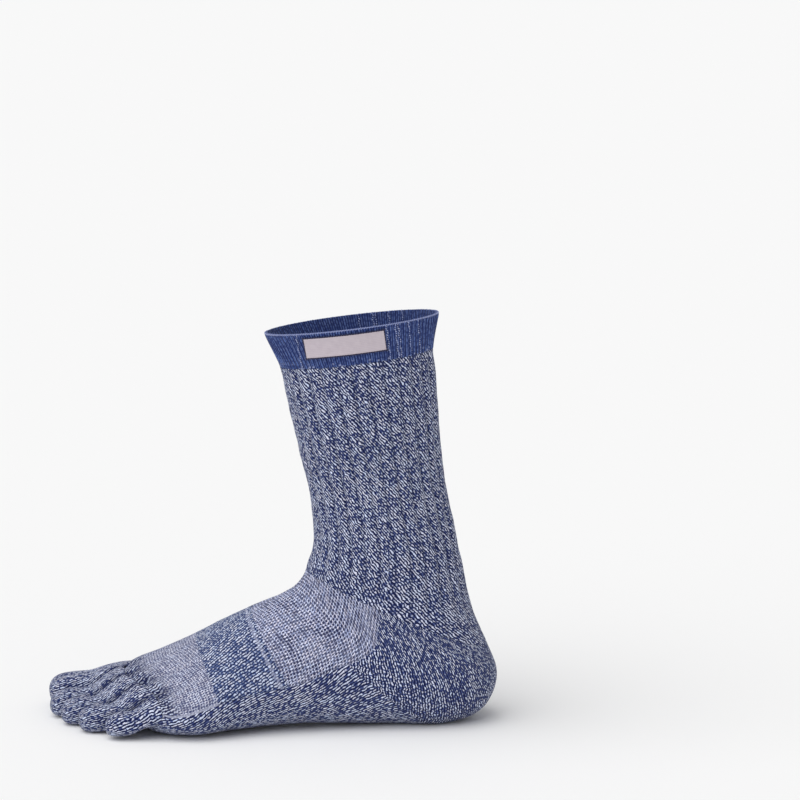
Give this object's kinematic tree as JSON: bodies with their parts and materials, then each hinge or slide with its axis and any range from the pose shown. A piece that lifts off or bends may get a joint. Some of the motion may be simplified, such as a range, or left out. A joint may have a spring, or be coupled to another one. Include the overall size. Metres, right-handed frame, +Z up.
{
  "type": "toe sock",
  "caption": "Mid-calf knitted toe sock in its worn shape: ribbed open cuff with a blank woven label, marled leg, mesh instep, terry sole and heel, and a separate pocket for each toe.",
  "frame": {"origin": "on the insole under the middle of the ankle, where the foot stands; the underside of the sole is 3 mm below it", "axes": "+Z up the leg, -Y towards the toes, +Y towards the heel, +X towards the little toe"},
  "size_m": [0.0983, 0.252, 0.2295],
  "materials": {
    "cuff_yarn": "solid royal blue rib knit with thin pale upright lines",
    "marl_rib": "blue and pale lavender marled yarn in a shallow wide rib",
    "marl_mesh": "light marled mesh knit with rows of small dark holes",
    "marl_terry": "chunky dark blue and lavender marled terry knit",
    "woven_label": "flat woven beige-grey tape"
  },
  "bodies": {
    "root": {"cuff": "cuff_yarn", "leg": "marl_rib", "instep": "marl_mesh", "sole": "marl_terry", "heel": "marl_terry", "toe_big": "marl_terry", "toe_second": "marl_terry", "toe_third": "marl_terry", "toe_fourth": "marl_terry", "toe_little": "marl_terry", "label": "woven_label"}
  },
  "joints": []
}
